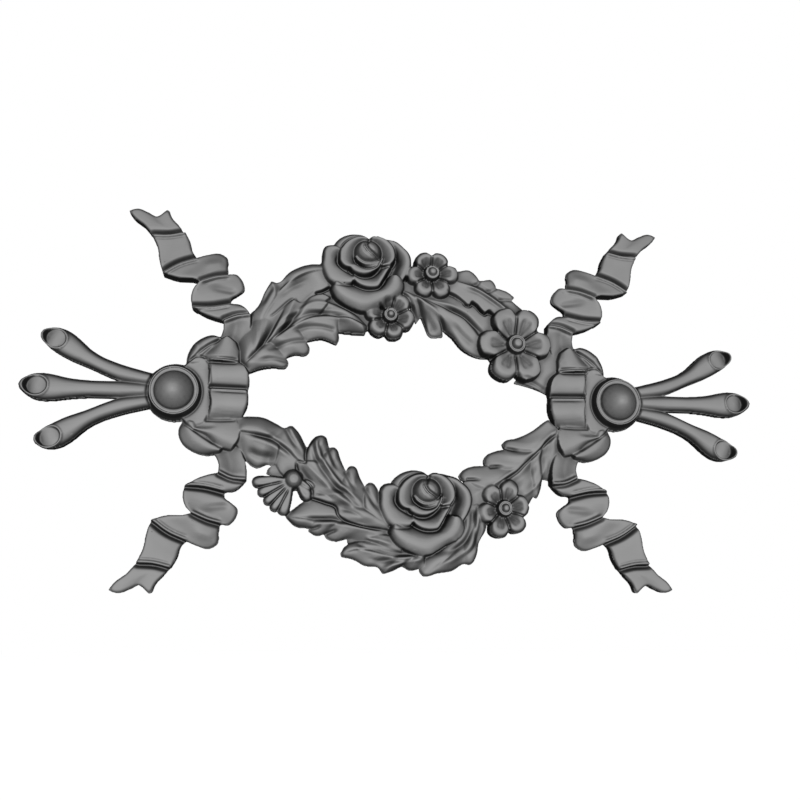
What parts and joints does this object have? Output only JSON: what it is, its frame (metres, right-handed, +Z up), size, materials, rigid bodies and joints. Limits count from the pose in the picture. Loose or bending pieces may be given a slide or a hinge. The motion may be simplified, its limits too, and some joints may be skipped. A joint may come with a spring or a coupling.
{
  "type": "carved openwork wall frame",
  "caption": "Carved openwork diamond frame with roses, flowers, leaves and folded ribbons around an open middle, flat at the back for a wall or panel.",
  "frame": {"origin": "on the flat back, on the middle line behind the upper rose, where the frame hangs", "axes": "+X to the right seen from the front, +Y into the wall, +Z up"},
  "size_m": [0.5876, 0.027, 0.3028],
  "materials": {
    "primed_wood": "satin"
  },
  "bodies": {
    "root": {"carved_frame": "primed_wood"}
  },
  "joints": []
}
